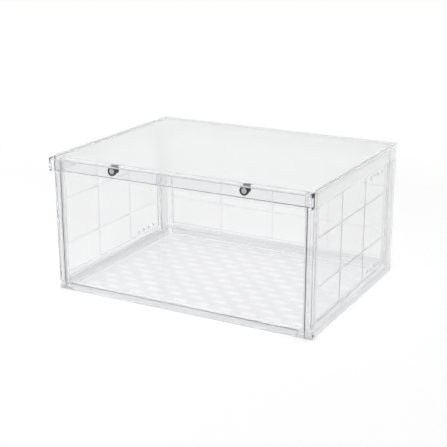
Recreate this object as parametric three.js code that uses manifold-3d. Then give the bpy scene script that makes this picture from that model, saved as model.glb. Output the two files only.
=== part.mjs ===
// Clear drop-front storage box: five moulded panels that lap together, and a door that
// turns on two pins at its bottom corners and is held shut by two magnetic catches.
// Millimetres, +Z up, +Y towards the back. Pieces are drawn with the door's face at y = 0.

import * as THREE from 'three';
import { mergeVertices } from 'three/addons/utils/BufferGeometryUtils.js';
import Module from 'manifold-3d';

const wasm = await Module();
wasm.setup();

// Body
const BODY_WIDTH = 360;
const BODY_DEPTH = 272;
const BODY_HEIGHT = 182;
const CORNER_RADIUS = 3;
const WALL = 2.4;
const LAP_GAP = 0.3;

// Base tray
const FOOT_HEIGHT = 2;
const FOOT_WIDTH = 4;
const FOOT_CORNER = 6;
const STACK_GAP = 1;
const FLOOR_THICKNESS = 2.4;
const NOSE_RADIUS = 5.2;
const NOSE_LIFT = 0.6;

// Guide lips that trap the panels' edges inside the base and the top
const BASE_LIP_HEIGHT = 12;
const TOP_LIP_HEIGHT = 4.6;

// Top panel
const SKIRT_HEIGHT = 20;
const RIM_HEIGHT = 1.6;

// Side and back panels
const POST_WIDTH = 8.4;
const POST_DEPTH = 14;
const POST_SETBACK = 0.5;
const STOP_LAP = 4.5;
const LEDGE_HEIGHT = 9;
const REAR_BAND = 10;
const REAR_LAP = 13;
const BACK_RETURN = 19.6;
const BACK_BORDER = 12;
const RIB_WIDTH = 2;
const RIB_HEIGHT = 0.8;
const RIB_END_GAP = 1.5;
const PANEL_ROWS = 3;
const SIDE_COLUMNS = 3;
const BACK_COLUMNS = 4;

// Vent holes in the rear column of each side panel
const VENT_DIAMETER = 4.5;
const VENT_PITCH = 12.4;
const VENT_COUNT = 4;
const VENT_MARGIN = 7;

// Door and its pull bar
const DOOR_THICKNESS = 2.8;
const DOOR_GAP = 0.6;
const DOOR_CORNER = 2;
const STOP_GAP = 0.5;
const HANDLE_DEPTH = 10;
const HANDLE_HEIGHT = 18;
const HANDLE_WALL = 2.2;
const HANDLE_EDGE = 1.2;
const HANDLE_REAR_CORNER = 4;

// Hinge
const LUG_WIDTH = 9;
const PIN_DIAMETER = 4;
const PIN_HEAD_DIAMETER = 7;
const PIN_HEAD_HEIGHT = 1.2;
const PIN_END_INSET = 1.5;

// Magnetic catches
const CATCH_SPACING = 183;
const STRIKE_DIAMETER = 10.4;
const STRIKE_THICKNESS = 2.2;
const HOUSING_DIAMETER = 8.6;
const HOUSING_LENGTH = 8;
const MAGNET_DIAMETER = 6;
const MAGNET_LENGTH = 4;
const EDGE_CHAMFER = 0.4;
const FIT_GAP = 0.3;

// Facets of round work
const ARC_STEPS = 6;
const ROUND_STEPS = 32;
const VENT_STEPS = 12;

// How far a tool or a joined piece runs past the face that it meets
const OVERLAP = 0.6;

// Levels and planes that the pieces share
const HALF_WIDTH = BODY_WIDTH / 2;
const LAP_STEP = WALL + LAP_GAP;
const PANEL_INSET = LAP_STEP + WALL;
const LIP_INSET = PANEL_INSET + LAP_GAP;
const FLOOR_TOP = FOOT_HEIGHT + FLOOR_THICKNESS;
const PIVOT_Y = NOSE_RADIUS;
const PIVOT_Z = NOSE_LIFT + NOSE_RADIUS;
const LUG_RADIUS = NOSE_RADIUS - LAP_GAP;
const SILL_TOP = PIVOT_Z + NOSE_RADIUS;
const SILL_LEG_FRONT = PIVOT_Y + LUG_RADIUS + DOOR_GAP;
const SILL_REAR = SILL_LEG_FRONT + WALL;
const PLATE_TOP = BODY_HEIGHT - RIM_HEIGHT;
const PLATE_BOTTOM = PLATE_TOP - WALL;
const SKIRT_BOTTOM = PLATE_TOP - SKIRT_HEIGHT;
const PANEL_BOTTOM = FLOOR_TOP + LAP_GAP;
const PANEL_TOP = PLATE_BOTTOM - LAP_GAP;
const FACE_BOTTOM = SILL_TOP + LAP_GAP;
const FACE_TOP = SKIRT_BOTTOM - LAP_GAP;
const LEDGE_TOP = FACE_BOTTOM + LEDGE_HEIGHT;
const RIB_TOP = SKIRT_BOTTOM - RIB_END_GAP;
const STOP_FACE = DOOR_THICKNESS + STOP_GAP;
const POST_INNER = HALF_WIDTH - POST_WIDTH;
const DOOR_HALF = POST_INNER - DOOR_GAP;
const DOOR_BOTTOM = SILL_TOP + DOOR_GAP;
const DOOR_TOP = PLATE_TOP;
const LUG_INNER = DOOR_HALF - LUG_WIDTH;
const HANDLE_BOTTOM = DOOR_TOP - HANDLE_HEIGHT;
const CATCH_X = CATCH_SPACING / 2;
const CATCH_Z = DOOR_TOP - HANDLE_HEIGHT / 2;
const SIDE_REAR = BODY_DEPTH - BACK_RETURN - LAP_GAP;
const FIELD_REAR = SIDE_REAR - REAR_BAND;
const BACK_FIELD = HALF_WIDTH - BACK_BORDER;

// Closed geometry to a solid that can be joined and cut
function solid(geometry) {
  geometry.deleteAttribute('normal');
  geometry.deleteAttribute('uv');
  const merged = mergeVertices(geometry, 1e-5);
  const index = merged.index.array;
  const triangles = [];
  for (let i = 0; i < index.length; i += 3) {
    const [a, b, c] = [index[i], index[i + 1], index[i + 2]];
    if (a !== b && b !== c && c !== a) triangles.push(a, b, c);
  }
  const vertProperties = new Float32Array(merged.attributes.position.array);
  const triVerts = new Uint32Array(triangles);
  return new wasm.Manifold(new wasm.Mesh({ numProp: 3, vertProperties, triVerts }));
}

// Solid back to a geometry, with flat shading
function geometryOf(body) {
  const mesh = body.getMesh();
  const indexed = new THREE.BufferGeometry();
  indexed.setAttribute('position', new THREE.BufferAttribute(new Float32Array(mesh.vertProperties), 3));
  indexed.setIndex(new THREE.BufferAttribute(new Uint32Array(mesh.triVerts), 1));
  indexed.computeVertexNormals();
  return indexed;
}

// Join several solids into one
function join(bodies) {
  return bodies.reduce((whole, body) => whole.add(body));
}

// Cut several solids from one
function cut(body, tools) {
  return tools.reduce((rest, tool) => rest.subtract(tool), body);
}

// Extrusions of a flat shape along each axis, between two planes
function extruded(shape, length, axisA, axisB, start) {
  const options = { depth: length, bevelEnabled: false, curveSegments: ARC_STEPS };
  const geometry = new THREE.ExtrudeGeometry(shape, options);
  const normal = new THREE.Vector3().crossVectors(axisA, axisB);
  const frame = new THREE.Matrix4().makeBasis(axisA, axisB, normal).setPosition(start);
  return solid(geometry.applyMatrix4(frame));
}

const X_AXIS = new THREE.Vector3(1, 0, 0);
const Y_AXIS = new THREE.Vector3(0, 1, 0);
const Z_AXIS = new THREE.Vector3(0, 0, 1);

// Shape drawn in (y, z)
function alongX(shape, from, to) {
  return extruded(shape, to - from, Y_AXIS, Z_AXIS, new THREE.Vector3(from, 0, 0));
}

// Shape drawn in (x, z)
function alongY(shape, from, to) {
  return extruded(shape, to - from, X_AXIS, Z_AXIS, new THREE.Vector3(0, to, 0));
}

// Shape drawn in (x, y)
function alongZ(shape, from, to) {
  return extruded(shape, to - from, X_AXIS, Y_AXIS, new THREE.Vector3(0, 0, from));
}

// Block between two corners
function block(low, high) {
  const size = high.map((value, axis) => value - low[axis]);
  const middle = high.map((value, axis) => (value + low[axis]) / 2);
  return solid(new THREE.BoxGeometry(...size).translate(...middle));
}

// Round bar between two points of one axis, centred on the other two
function barAlongX(radius, from, to, y, z, steps = ROUND_STEPS) {
  const bar = new THREE.CylinderGeometry(radius, radius, to - from, steps);
  return solid(bar.rotateZ(-Math.PI / 2).translate((from + to) / 2, y, z));
}

function barAlongY(radius, from, to, x, z, steps = ROUND_STEPS) {
  const bar = new THREE.CylinderGeometry(radius, radius, to - from, steps);
  return solid(bar.translate(x, (from + to) / 2, z));
}

// Turned piece about the Y axis, from its half section in (radius, y)
function turned(section) {
  const points = section.map(([radius, y]) => new THREE.Vector2(radius, y));
  return solid(new THREE.LatheGeometry(points, ROUND_STEPS));
}

// Rectangle whose corners, counted round from the low-low one, have their own radii
function rectangle(x0, y0, x1, y1, radii = [0, 0, 0, 0]) {
  const shape = new THREE.Shape();
  const corners = [[x0, y0, 1, 1], [x1, y0, -1, 1], [x1, y1, -1, -1], [x0, y1, 1, -1]];
  corners.forEach(([x, y, inX, inY], count) => {
    const radius = radii[count];
    const start = Math.PI * (1 + count / 2);
    if (radius > 0) shape.absarc(x + inX * radius, y + inY * radius, radius, start, start + Math.PI / 2);
    else if (count === 0) shape.moveTo(x, y);
    else shape.lineTo(x, y);
  });
  shape.closePath();
  return shape;
}

// Wall of even thickness: the line of its outer face, with the wall on the right of that line
function wallSection(face, thickness) {
  const count = face.length;
  const rightOf = (from, to) => {
    const length = Math.hypot(to[0] - from[0], to[1] - from[1]);
    return [(to[1] - from[1]) / length, (from[0] - to[0]) / length];
  };
  const inner = face.map((point, i) => {
    const before = rightOf(face[Math.max(i - 1, 0)], face[Math.max(i, 1)]);
    const after = rightOf(face[Math.min(i, count - 2)], face[Math.min(i + 1, count - 1)]);
    const stretch = thickness / (1 + before[0] * after[0] + before[1] * after[1]);
    return [point[0] + (before[0] + after[0]) * stretch, point[1] + (before[1] + after[1]) * stretch];
  });
  const outline = [...face, ...inner.reverse()].map(([a, b]) => new THREE.Vector2(a, b));
  return new THREE.Shape(outline);
}

// Points of an arc, ends included
function arcPoints(centreA, centreB, radius, from, to, steps) {
  return Array.from({ length: steps + 1 }, (_, i) => {
    const angle = from + ((to - from) * i) / steps;
    return [centreA + radius * Math.cos(angle), centreB + radius * Math.sin(angle)];
  });
}

// Body's plan outline, drawn in by an inset, with its front edge square at a given plane
function bodyOutline(inset, front) {
  const corner = Math.max(CORNER_RADIUS - inset, 0);
  const side = HALF_WIDTH - inset;
  return rectangle(-side, front, side, BODY_DEPTH - inset, [0, 0, corner, corner]);
}

// Centres of equal columns, and the lines between them
function columnLines(from, to, columns) {
  const pitch = (to - from) / columns;
  return Array.from({ length: columns - 1 }, (_, i) => from + pitch * (i + 1));
}

function columnCentres(from, to, columns) {
  const pitch = (to - from) / columns;
  return Array.from({ length: columns }, (_, i) => from + pitch * (i + 0.5));
}

const ROW_LEVELS = columnLines(0, BODY_HEIGHT, PANEL_ROWS);
const SIDE_LINES = columnLines(POST_DEPTH, FIELD_REAR, SIDE_COLUMNS);
const SIDE_CENTRES = columnCentres(POST_DEPTH, FIELD_REAR, SIDE_COLUMNS);
const BACK_LINES = columnLines(-BACK_FIELD, BACK_FIELD, BACK_COLUMNS);

// Guide lip round three sides, between its buried root and its free edge
function guideLip(from, to) {
  const side = HALF_WIDTH - LIP_INSET;
  const back = BODY_DEPTH - LIP_INSET;
  const face = [[-side, SILL_REAR], [-side, back], [side, back], [side, SILL_REAR]];
  return alongZ(wallSection(face, WALL), from, to);
}

// Base tray: floor, low outer wall, rounded sill, pivot ears, guide lip and foot
function basePanel() {
  const tray = cut(alongZ(bodyOutline(0, SILL_LEG_FRONT), FOOT_HEIGHT, SILL_TOP), [
    alongZ(bodyOutline(WALL, SILL_REAR), FLOOR_TOP, SILL_TOP + OVERLAP),
  ]);
  const nose = arcPoints(PIVOT_Y, PIVOT_Z, NOSE_RADIUS, -Math.PI / 2, -1.5 * Math.PI, 2 * ARC_STEPS);
  const sillFace = [...nose, [SILL_REAR, SILL_TOP], [SILL_REAR, FOOT_HEIGHT]];
  const sillHalf = LUG_INNER - DOOR_GAP;
  const sill = alongX(wallSection(sillFace, WALL), -sillHalf, sillHalf);

  const earShape = new THREE.Shape();
  earShape.moveTo(SILL_REAR, FOOT_HEIGHT);
  earShape.lineTo(SILL_REAR, SILL_TOP);
  earShape.absarc(PIVOT_Y, PIVOT_Z, NOSE_RADIUS, Math.PI / 2, 1.5 * Math.PI);
  earShape.closePath();
  const ears = [alongX(earShape, -HALF_WIDTH, -POST_INNER), alongX(earShape, POST_INNER, HALF_WIDTH)];

  const footInset = WALL + STACK_GAP;
  const footRing = (inset) => {
    const side = HALF_WIDTH - footInset - inset;
    const radius = FOOT_CORNER - inset;
    const rear = BODY_DEPTH - footInset - inset;
    return rectangle(-side, SILL_REAR + inset, side, rear, [radius, radius, radius, radius]);
  };
  const ringShape = footRing(0);
  ringShape.holes.push(footRing(FOOT_WIDTH));
  const foot = alongZ(ringShape, 0, FOOT_HEIGHT + OVERLAP);

  const lip = guideLip(FLOOR_TOP - OVERLAP, FLOOR_TOP + BASE_LIP_HEIGHT);
  const boreRadius = PIN_DIAMETER / 2 + FIT_GAP;
  const headRadius = PIN_HEAD_DIAMETER / 2 + FIT_GAP;
  const headSeat = HALF_WIDTH - PIN_HEAD_HEIGHT - 2 * FIT_GAP;
  const bores = [-1, 1].flatMap((side) => {
    const along = (radius, from, to) => {
      const ends = [side * from, side * to].sort((a, b) => a - b);
      return barAlongX(radius, ...ends, PIVOT_Y, PIVOT_Z);
    };
    return [
      along(boreRadius, POST_INNER - OVERLAP, HALF_WIDTH + OVERLAP),
      along(headRadius, headSeat, HALF_WIDTH + OVERLAP),
    ];
  });
  return cut(join([tray, sill, ...ears, foot, lip]), bores);
}

// Top panel: plate, skirt on three sides, stacking rim, front rail bored for the catches
function topPanel() {
  const doorNotch = [
    [-POST_INNER, -OVERLAP, PLATE_BOTTOM - OVERLAP],
    [POST_INNER, STOP_FACE, BODY_HEIGHT + OVERLAP],
  ];
  const shell = cut(alongZ(bodyOutline(0, POST_SETBACK), SKIRT_BOTTOM, BODY_HEIGHT), [
    alongZ(bodyOutline(WALL, -OVERLAP), SKIRT_BOTTOM - OVERLAP, PLATE_BOTTOM),
    alongZ(bodyOutline(WALL, -OVERLAP), PLATE_TOP, BODY_HEIGHT + OVERLAP),
    block(...doorNotch),
  ]);
  const railHalf = POST_INNER - STOP_LAP - LAP_GAP;
  const rail = block(
    [-railHalf, STOP_FACE, HANDLE_BOTTOM],
    [railHalf, STOP_FACE + WALL, PLATE_BOTTOM + OVERLAP],
  );
  const boreRadius = HOUSING_DIAMETER / 2 + FIT_GAP;
  const boreRear = STOP_FACE + WALL + OVERLAP;
  const bores = [-CATCH_X, CATCH_X].map((x) =>
    barAlongY(boreRadius, STOP_FACE - OVERLAP, boreRear, x, CATCH_Z));
  const lip = guideLip(PLATE_BOTTOM - TOP_LIP_HEIGHT, PLATE_BOTTOM + OVERLAP);
  return cut(join([shell, rail, lip]), bores);
}

// Left side panel: one wall section run upwards, from the door stop round the front post,
// in to the recessed field, out to the rear band and in again to the lap behind the corner
function sidePanel() {
  const across = (inset) => inset - HALF_WIDTH;
  const face = [
    [POST_WIDTH + STOP_LAP, STOP_FACE],
    [POST_WIDTH, STOP_FACE],
    [POST_WIDTH, POST_SETBACK],
    [0, POST_SETBACK],
    [0, POST_DEPTH],
    [LAP_STEP, POST_DEPTH],
    [LAP_STEP, FIELD_REAR],
    [0, FIELD_REAR],
    [0, SIDE_REAR],
    [LAP_STEP, SIDE_REAR],
    [LAP_STEP, SIDE_REAR + REAR_LAP],
  ].map(([inset, y]) => [across(inset), y]);
  const upright = alongZ(wallSection(face, WALL), FACE_BOTTOM, PANEL_TOP);
  const lapTop = block(
    [across(0) - OVERLAP, 0, FACE_TOP],
    [across(LAP_STEP), BODY_DEPTH, PANEL_TOP + OVERLAP],
  );
  const tongue = block(
    [across(LAP_STEP), SILL_REAR + LAP_GAP, PANEL_BOTTOM],
    [across(PANEL_INSET), SIDE_REAR, FACE_BOTTOM + OVERLAP],
  );
  const ledgeSection = wallSection(
    [[across(0), FACE_BOTTOM], [across(0), LEDGE_TOP], [across(PANEL_INSET), LEDGE_TOP]],
    WALL,
  );
  const ledge = alongY(ledgeSection, POST_DEPTH - OVERLAP, FIELD_REAR + OVERLAP);

  const ribFace = across(LAP_STEP - RIB_HEIGHT);
  const ribRoot = across(LAP_STEP + OVERLAP);
  const uprightRibs = SIDE_LINES.map((y) => block(
    [ribFace, y - RIB_WIDTH / 2, LEDGE_TOP - OVERLAP],
    [ribRoot, y + RIB_WIDTH / 2, RIB_TOP],
  ));
  const levelRibs = ROW_LEVELS.map((z) => block(
    [ribFace, POST_DEPTH - OVERLAP, z - RIB_WIDTH / 2],
    [ribRoot, FIELD_REAR + OVERLAP, z + RIB_WIDTH / 2],
  ));

  const ventMiddle = SIDE_CENTRES[SIDE_COLUMNS - 1];
  const ventStart = ventMiddle - (VENT_PITCH * (VENT_COUNT - 1)) / 2;
  const vents = [];
  for (const z of [LEDGE_TOP + VENT_MARGIN, SKIRT_BOTTOM - VENT_MARGIN]) {
    for (let i = 0; i < VENT_COUNT; i += 1) {
      const y = ventStart + VENT_PITCH * i;
      vents.push(barAlongX(VENT_DIAMETER / 2, across(0), across(PANEL_INSET + WALL), y, z, VENT_STEPS));
    }
  }
  const cornered = upright.subtract(lapTop);
  return cut(join([cornered, tongue, ledge, ...uprightRibs, ...levelRibs]), vents);
}

// Back panel: corner returns, recessed field with a ledge on the base wall, and ribs
function backPanel() {
  const outer = BODY_DEPTH;
  const field = BODY_DEPTH - LAP_STEP;
  const front = BODY_DEPTH - BACK_RETURN;
  const face = [
    [-HALF_WIDTH, front],
    [-HALF_WIDTH, outer],
    [-BACK_FIELD, outer],
    [-BACK_FIELD, field],
    [BACK_FIELD, field],
    [BACK_FIELD, outer],
    [HALF_WIDTH, outer],
    [HALF_WIDTH, front],
  ];
  const rounded = alongZ(bodyOutline(0, front - OVERLAP), FACE_BOTTOM - OVERLAP, FACE_TOP + OVERLAP);
  const upright = alongZ(wallSection(face, WALL), FACE_BOTTOM, FACE_TOP).intersect(rounded);
  const inner = BODY_DEPTH - PANEL_INSET;
  const tongues = block([-BACK_FIELD, inner, PANEL_BOTTOM], [BACK_FIELD, field, PANEL_TOP]);
  const ledgeSection = wallSection(
    [[inner, LEDGE_TOP], [outer, LEDGE_TOP], [outer, FACE_BOTTOM]],
    WALL,
  );
  const ledge = alongX(ledgeSection, -BACK_FIELD - OVERLAP, BACK_FIELD + OVERLAP);

  const ribFace = field + RIB_HEIGHT;
  const ribRoot = field - OVERLAP;
  const uprightRibs = BACK_LINES.map((x) => block(
    [x - RIB_WIDTH / 2, ribRoot, LEDGE_TOP - OVERLAP],
    [x + RIB_WIDTH / 2, ribFace, RIB_TOP],
  ));
  const levelRibs = ROW_LEVELS.map((z) => block(
    [-BACK_FIELD - OVERLAP, ribRoot, z - RIB_WIDTH / 2],
    [BACK_FIELD + OVERLAP, ribFace, z + RIB_WIDTH / 2],
  ));
  return join([upright, tongues, ledge, ...uprightRibs, ...levelRibs]);
}

// Door sheet with round seats for the strike discs and two pivot lugs
function doorPanel() {
  const corners = [DOOR_CORNER, DOOR_CORNER, DOOR_CORNER, DOOR_CORNER];
  const sheet = alongY(rectangle(-DOOR_HALF, DOOR_BOTTOM, DOOR_HALF, DOOR_TOP, corners), 0, DOOR_THICKNESS);
  const seatRadius = STRIKE_DIAMETER / 2 + FIT_GAP;
  const seats = [-CATCH_X, CATCH_X].map((x) =>
    barAlongY(seatRadius, -OVERLAP, DOOR_THICKNESS + OVERLAP, x, CATCH_Z));

  const rearMeet = Math.PI - Math.acos((PIVOT_Y - DOOR_THICKNESS) / LUG_RADIUS);
  const neckTop = DOOR_BOTTOM + DOOR_CORNER + OVERLAP;
  const lugShape = new THREE.Shape();
  lugShape.moveTo(0, neckTop);
  arcPoints(PIVOT_Y, PIVOT_Z, LUG_RADIUS, Math.PI, 2 * Math.PI + rearMeet, 3 * ARC_STEPS)
    .forEach(([y, z]) => lugShape.lineTo(y, z));
  lugShape.lineTo(DOOR_THICKNESS, neckTop);
  lugShape.closePath();
  const lugs = [alongX(lugShape, -DOOR_HALF, -LUG_INNER), alongX(lugShape, LUG_INNER, DOOR_HALF)];
  const boreRadius = PIN_DIAMETER / 2 + FIT_GAP;
  const bore = barAlongX(boreRadius, -HALF_WIDTH, HALF_WIDTH, PIVOT_Y, PIVOT_Z);
  return cut(join([sheet, ...lugs]), [...seats, bore]);
}

// Pull bar: a round-edged bar hollowed from below for the fingers, with closed ends
function doorHandle() {
  const front = -HANDLE_DEPTH;
  const radii = [HANDLE_EDGE, HANDLE_REAR_CORNER, 0, HANDLE_EDGE];
  const section = rectangle(front, HANDLE_BOTTOM, 0, DOOR_TOP, radii);
  const fingerSpace = block(
    [HANDLE_WALL - HALF_WIDTH, front + HANDLE_WALL, HANDLE_BOTTOM - OVERLAP],
    [HALF_WIDTH - HANDLE_WALL, -HANDLE_WALL, DOOR_TOP - HANDLE_WALL],
  );
  return alongX(section, -HALF_WIDTH, HALF_WIDTH).subtract(fingerSpace);
}

// Steel disc that the magnet pulls, seated in the door sheet behind the pull bar
function strikeDisc(x) {
  const radius = STRIKE_DIAMETER / 2;
  const front = FIT_GAP;
  const rear = FIT_GAP + STRIKE_THICKNESS;
  return turned([
    [0, front],
    [radius - EDGE_CHAMFER, front],
    [radius, front + EDGE_CHAMFER],
    [radius, rear - EDGE_CHAMFER],
    [radius - EDGE_CHAMFER, rear],
    [0, rear],
  ]).translate([x, 0, CATCH_Z]);
}

// Cup pushed into the rail's bore from the front, with the magnet's seat in its face
function catchHousing(x) {
  const radius = HOUSING_DIAMETER / 2;
  const seatRadius = MAGNET_DIAMETER / 2 + FIT_GAP;
  const rear = STOP_FACE + HOUSING_LENGTH;
  const seatFloor = STOP_FACE + MAGNET_LENGTH + 2 * FIT_GAP;
  return turned([
    [0, seatFloor],
    [seatRadius, seatFloor],
    [seatRadius, STOP_FACE],
    [radius - EDGE_CHAMFER, STOP_FACE],
    [radius, STOP_FACE + EDGE_CHAMFER],
    [radius, rear - EDGE_CHAMFER],
    [radius - EDGE_CHAMFER, rear],
    [0, rear],
  ]).translate([x, 0, CATCH_Z]);
}

function catchMagnet(x) {
  const radius = MAGNET_DIAMETER / 2;
  const front = STOP_FACE + FIT_GAP;
  const rear = front + MAGNET_LENGTH;
  return turned([
    [0, front],
    [radius - EDGE_CHAMFER, front],
    [radius, front + EDGE_CHAMFER],
    [radius, rear],
    [0, rear],
  ]).translate([x, 0, CATCH_Z]);
}

// Headed pin pushed in from the left, through the ear and into the door's lug
function hingePin() {
  const headOuter = FIT_GAP - HALF_WIDTH;
  const headInner = headOuter + PIN_HEAD_HEIGHT;
  const head = barAlongX(PIN_HEAD_DIAMETER / 2, headOuter, headInner, PIVOT_Y, PIVOT_Z);
  const tip = -LUG_INNER - PIN_END_INSET;
  const shank = barAlongX(PIN_DIAMETER / 2, headInner - OVERLAP, tip, PIVOT_Y, PIVOT_Z);
  return head.add(shank);
}

// Mirror image across the middle of the box, with its faces still pointing out
function mirrored(geometry) {
  const image = geometry.clone().scale(-1, 1, 1);
  const index = image.index.array;
  for (let i = 0; i < index.length; i += 3) [index[i + 1], index[i + 2]] = [index[i + 2], index[i + 1]];
  image.computeVertexNormals();
  return image;
}

// Finishes
function clearPlastic(color, roughness, opacity) {
  return new THREE.MeshStandardMaterial({ color, roughness, metalness: 0, transparent: true, opacity });
}

const finishes = {
  wall: () => clearPlastic('#e9ecef', 0.18, 0.4),
  top: () => clearPlastic('#eceef0', 0.4, 0.55),
  door: () => clearPlastic('#f4f6f9', 0.04, 0.25),
  steel: () => new THREE.MeshStandardMaterial({ color: '#b9bbbe', roughness: 0.25, metalness: 1 }),
  black: () => new THREE.MeshStandardMaterial({ color: '#141416', roughness: 0.5, metalness: 0 }),
};

// Assembly, with the origin under the middle of the whole box
const box = new THREE.Group();
box.position.y = (HANDLE_DEPTH - BODY_DEPTH) / 2;

function place(name, geometry, finish) {
  const mesh = new THREE.Mesh(geometry, finishes[finish]());
  mesh.name = name;
  box.add(mesh);
}

function placePair(name, geometry, finish) {
  place(`left_${name}`, geometry, finish);
  place(`right_${name}`, mirrored(geometry), finish);
}

place('base_panel', geometryOf(basePanel()), 'wall');
place('top_panel', geometryOf(topPanel()), 'top');
placePair('side_panel', geometryOf(sidePanel()), 'wall');
place('back_panel', geometryOf(backPanel()), 'wall');
place('door_panel', geometryOf(doorPanel()), 'door');
place('door_handle', geometryOf(doorHandle()), 'door');
placePair('strike_disc', geometryOf(strikeDisc(-CATCH_X)), 'steel');
placePair('catch_housing', geometryOf(catchHousing(-CATCH_X)), 'black');
placePair('catch_magnet', geometryOf(catchMagnet(-CATCH_X)), 'steel');
placePair('hinge_pin', geometryOf(hingePin()), 'steel');

export default box;
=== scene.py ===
"""Looks of a clear drop-front storage box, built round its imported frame.

The moulded walls are copies of their solids with every rim rounded, because clear plastic shows
its edges by how they bend light. The catches and hinge pins are turned afresh.
"""
import logging
import math
from dataclasses import dataclass, field
from enum import Enum
from typing import ClassVar, Iterable

import bmesh
import bpy
from bmesh.types import BMesh, BMFace
from bpy.types import Material, Node, NodeSocket, NodeTree
from mathutils import Matrix, Vector


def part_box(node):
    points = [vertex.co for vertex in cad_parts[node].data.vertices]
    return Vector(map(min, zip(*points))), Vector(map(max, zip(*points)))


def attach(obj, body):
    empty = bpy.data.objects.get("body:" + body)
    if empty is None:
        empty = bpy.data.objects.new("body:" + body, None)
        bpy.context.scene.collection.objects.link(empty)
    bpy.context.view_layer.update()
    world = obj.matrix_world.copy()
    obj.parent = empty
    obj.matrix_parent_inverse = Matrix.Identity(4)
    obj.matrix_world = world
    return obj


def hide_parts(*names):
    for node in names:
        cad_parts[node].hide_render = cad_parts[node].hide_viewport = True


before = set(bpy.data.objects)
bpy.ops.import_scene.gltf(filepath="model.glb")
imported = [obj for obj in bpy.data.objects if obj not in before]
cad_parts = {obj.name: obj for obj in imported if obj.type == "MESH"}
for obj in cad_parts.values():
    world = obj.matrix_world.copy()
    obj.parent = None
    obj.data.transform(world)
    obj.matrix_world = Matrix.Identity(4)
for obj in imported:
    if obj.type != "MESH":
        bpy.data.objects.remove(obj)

Colour = tuple[float, float, float]
Place = tuple[float, float, float]
Span = tuple[float, float]
Section = list[tuple[float, float]]

MM = 0.001
LOG = logging.getLogger("storage_box")
TURNING_MAP = "turning"

# How near points are that count as one, that lie on a face, and that lie at a level
MERGE_GAP = 0.001 * MM
TOUCH_GAP = 0.01 * MM
LEVEL_GAP = 0.1 * MM

# How much of a normal lies along an axis where a face looks that way, or is square to it
FACING = 0.9
SQUARE = 0.97

# The range from nothing to all, and the one that most values of a noise texture lie in
UNIT: Span = (0.0, 1.0)
NOISE: Span = (0.3, 0.7)

# The distance between the rings of a wave texture at a scale of 1
WAVE_PERIOD = math.tau / 20

# Plain white, and the light that is left behind clear plastic
WHITE: Colour = (1.0, 1.0, 1.0)
CLEAR_SHADOW: Colour = (0.96, 0.96, 0.965)


class Side(Enum):
    """The two mirrored sides of the box, as seen from the front."""

    LEFT = "left"
    RIGHT = "right"


class Body(Enum):
    """The rigid bodies of the frame that pieces ride on."""

    BOX = "box"
    DOOR = "door"


class Slot(Enum):
    """The record's finishes."""

    CLEAR_WALL = "clear_wall"
    CLEAR_TOP = "clear_top"
    CLEAR_DOOR = "clear_door"
    BRIGHT_STEEL = "bright_steel"
    BLACK_PLASTIC = "black_plastic"


class Axis(Enum):
    """The axis that a turned piece is spun about."""

    ACROSS = "X"
    DEEP = "Y"


def rgba(colour: Colour) -> tuple[float, float, float, float]:
    """Gives a colour as a shader's socket takes it."""
    return (*colour, 1.0)


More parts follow.
